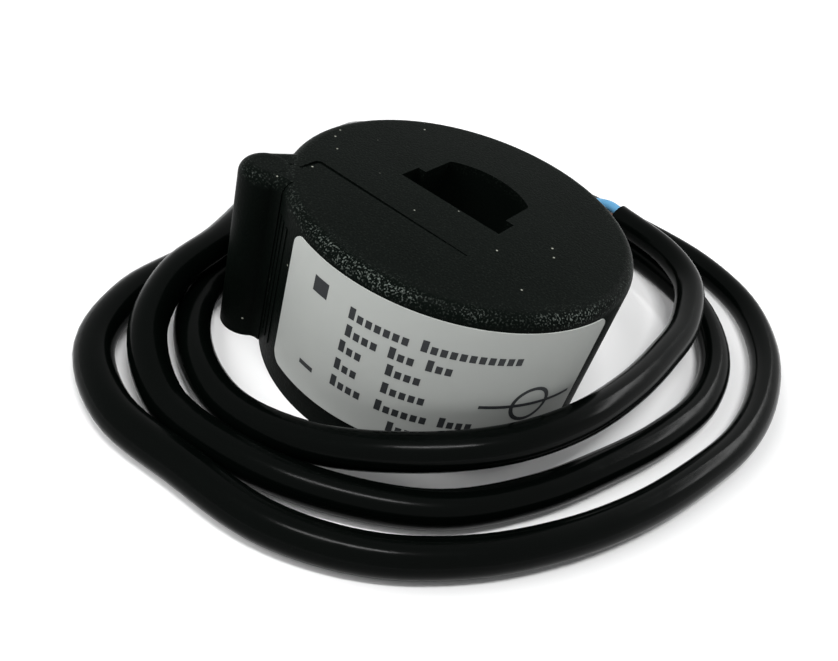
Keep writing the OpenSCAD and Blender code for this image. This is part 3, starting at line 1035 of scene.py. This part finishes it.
@dataclass(frozen=True)
class LabelPrint:
    """The label's print: rows of plain bars, two small marks and the symbol of a transformer.

    Attributes:
        radius: Radius of the label's face in millimetres.
        ink: Height of the ink over the face in millimetres, and its depth below it.
        letter: Width of one short bar in millimetres.
        gap: Width of the gap after it in millimetres.
        low: Height of a plain bar in millimetres.
        tall: Height of a group's first bar in millimetres.
        facet: Width in millimetres of the flat boxes that a long bar is made of.
        rows: The rows.
        symbol: The symbol's ring.
        marks: The line through the ring, and the two small marks.
    """

    radius: float = 24.17
    ink: float = 0.02
    letter: float = 0.8
    gap: float = 0.36
    low: float = 1.1
    tall: float = 1.7
    facet: float = 1.2
    rows: tuple[Row, ...] = (
        Row(-85.6, 19.3, (7, 11)),
        Row(-85.4, 16.7, (4, 3, 3)),
        Row(-86.3, 14.1, (3,)),
        Row(-71.0, 14.1, (4,)),
        Row(-86.3, 11.2, (3,)),
        Row(-70.8, 11.2, (5,)),
        Row(-86.3, 8.4, (4,)),
        Row(-71.2, 8.2, (6, 4)),
        Row(-66.0, 5.4, (5,)),
    )
    symbol: Ring = Ring(-25.0, 12.3, 2.9, 0.55)
    marks: tuple[Bar, ...] = (
        Bar(-42.0, 12.05, 14.2, 0.5),
        Bar(-99.6, 19.5, 2.4, 2.2),
        Bar(-99.0, 7.9, 2.4, 0.7),
    )

    def wrap(self, angle: float, x: float, z: float, raised: bool) -> Vector:
        """Bend a point of the flat print round the label.

        Args:
            angle: The angle in degrees from +X where x is 0.
            x: Its distance from there round the label, in millimetres.
            z: Its height in millimetres.
            raised: Whether it lies on the ink's face. Otherwise it lies below the label's face.

        Returns:
            The point in metres.
        """
        turn = math.radians(angle) + x / self.radius
        out = (self.radius + (self.ink if raised else -self.ink)) * MM
        return Vector((out * math.cos(turn), out * math.sin(turn), z * MM))

    def print_bar(self, bm: bmesh.types.BMesh, bar: Bar) -> None:
        """Print one bar, in short boxes that follow the label's curve.

        Args:
            bm: The mesh that takes it.
            bar: The bar.
        """
        count = max(1, round(bar.width / self.facet))
        step = bar.width / count
        for i in range(count):
            for vert in bmesh.ops.create_cube(bm, size=1.0)["verts"]:
                x, depth, z = vert.co
                along, up = (i + x + 0.5) * step, bar.low + (z + 0.5) * bar.height
                vert.co = self.wrap(bar.angle, along, up, depth < 0)

    def print_ring(self, bm: bmesh.types.BMesh, ring: Ring) -> None:
        """Print one ring.

        Args:
            bm: The mesh that takes it.
            ring: The ring.
        """
        before = set(bm.verts)
        inner = ring.outer - ring.stroke
        section = ((inner, -1.0), (ring.outer, -1.0), (ring.outer, 1.0), (inner, 1.0))
        corners = [bm.verts.new((r, depth, 0.0)) for r, depth in section]
        edges = [bm.edges.new((corners[i], corners[i - 1])) for i in range(len(corners))]
        bmesh.ops.spin(
            bm,
            geom=[*corners, *edges],
            cent=(0, 0, 0),
            axis=(0, 1, 0),
            dvec=(0, 0, 0),
            angle=math.tau,
            steps=ring.steps,
            use_merge=True,
            use_duplicate=False,
        )
        for vert in bm.verts:
            if vert not in before:
                x, depth, z = vert.co
                vert.co = self.wrap(ring.angle, x, ring.middle + z, depth < 0)

    def row_bars(self, row: Row) -> list[Bar]:
        """Lay out a row's bars.

        Args:
            row: The row.

        Returns:
            The bars, from left to right.
        """
        pitch = math.degrees((self.letter + self.gap) / self.radius)
        bars = []
        at = 0
        for count in row.groups:
            for k in range(count):
                height = self.tall if k == 0 else self.low
                bars.append(Bar(row.angle + (at + k) * pitch, row.low, self.letter, height))
            at += count + 1
        return bars

    def build(self, palette: Palette) -> list[bpy.types.Object]:
        """Print the label.

        Args:
            palette: The materials.

        Returns:
            The print.
        """
        bm = bmesh.new()
        self.print_ring(bm, self.symbol)
        for row in self.rows:
            for bar in self.row_bars(row):
                self.print_bar(bm, bar)
        for mark in self.marks:
            self.print_bar(bm, mark)
        bmesh.ops.recalc_face_normals(bm, faces=bm.faces)
        piece = mesh_object("label_print", bm, palette[Finish.INK])
        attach(piece, ROOT)
        return [piece]


# ---- The solids --------------------------------------------------------------


@dataclass(frozen=True)
class Dressing:
    """Gives the solid pieces their finishes.

    Attributes:
        finishes: Each solid's name and its finish.
    """

    finishes: dict[str, Finish] = field(
        default_factory=lambda: {
            "case_shell": Finish.CASE,
            "base_cover": Finish.COVER,
            "label": Finish.LABEL,
            "upper_pad": Finish.FOAM,
            "lower_pad": Finish.FOAM,
            "toroid_core": Finish.STEEL,
            "core_box": Finish.NATURAL,
            "core_lid": Finish.NATURAL,
            "secondary_winding": Finish.ENAMEL,
            "outer_tape": Finish.FILM,
            "start_lead": Finish.NATURAL,
            "finish_lead": Finish.NATURAL,
            "blue_splice_sleeve": Finish.NATURAL,
            "brown_splice_sleeve": Finish.NATURAL,
            "blue_solder_joint": Finish.TINNED,
            "brown_solder_joint": Finish.TINNED,
            "inner_blue_core": Finish.BLUE,
            "inner_brown_core": Finish.BROWN,
            "lead_tail": Finish.SHEATH,
            "lead_tie": Finish.NATURAL,
            "strain_relief": Finish.RELIEF,
        }
    )

    def build(self, palette: Palette) -> list[bpy.types.Object]:
        """Dress every solid that stays.

        Args:
            palette: The materials.

        Returns:
            The solids.
        """
        pieces = [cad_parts[name] for name in self.finishes]
        for piece, finish in zip(pieces, self.finishes.values()):
            dress(piece, palette[finish])
        return pieces


def main() -> None:
    """Build the studio, the lead, the solids' finishes and the label's print, and report them."""
    logging.basicConfig(level=logging.INFO)
    bpy.context.scene.view_settings.view_transform = "Standard"
    palette = Palette()
    Studio().build()
    for assembly in (Lead(), Dressing(), LabelPrint()):
        for piece in assembly.build(palette):
            LOG.info("%s: %s", type(assembly).__name__, piece.name)


if __name__ == "__main__":
    main()
